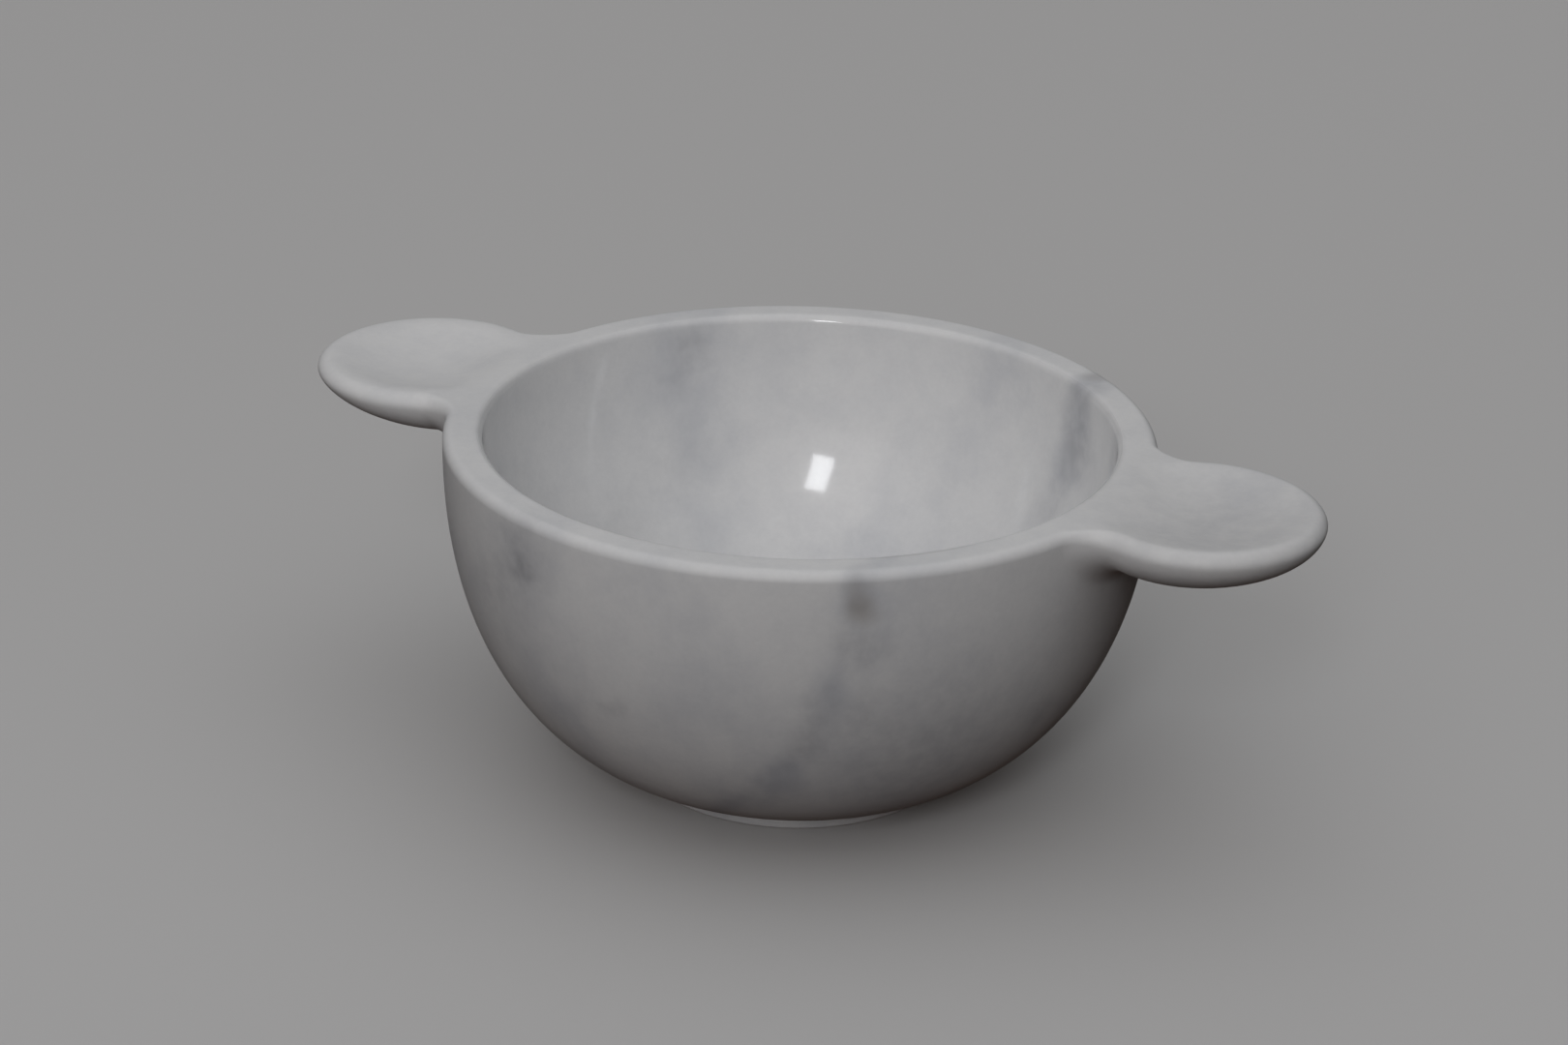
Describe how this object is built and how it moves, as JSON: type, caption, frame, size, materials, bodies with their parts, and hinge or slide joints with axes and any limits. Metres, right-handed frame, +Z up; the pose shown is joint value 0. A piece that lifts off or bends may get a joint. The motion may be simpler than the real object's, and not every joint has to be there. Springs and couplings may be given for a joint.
{
  "type": "shaving bowl",
  "caption": "Thick-walled marble lather bowl with a deep round hollow, a low turned foot and two opposite dished ear handles level with its rim.",
  "frame": {"origin": "centre of the foot's underside, on the surface that the bowl stands on", "axes": "+X along the two ear handles, through the middle of handle_right; +Z up, along the bowl's turning axis; +Y away from a viewer who has handle_right on the right"},
  "size_m": [0.2136, 0.14, 0.0722],
  "materials": {
    "marble": "polished white marble with soft grey clouds and veins",
    "marble_honed": "honed white marble, ground flat and left matt underneath"
  },
  "bodies": {
    "root": {"bowl": "marble", "foot": "marble_honed", "handle_right": "marble", "handle_left": "marble"}
  },
  "joints": []
}
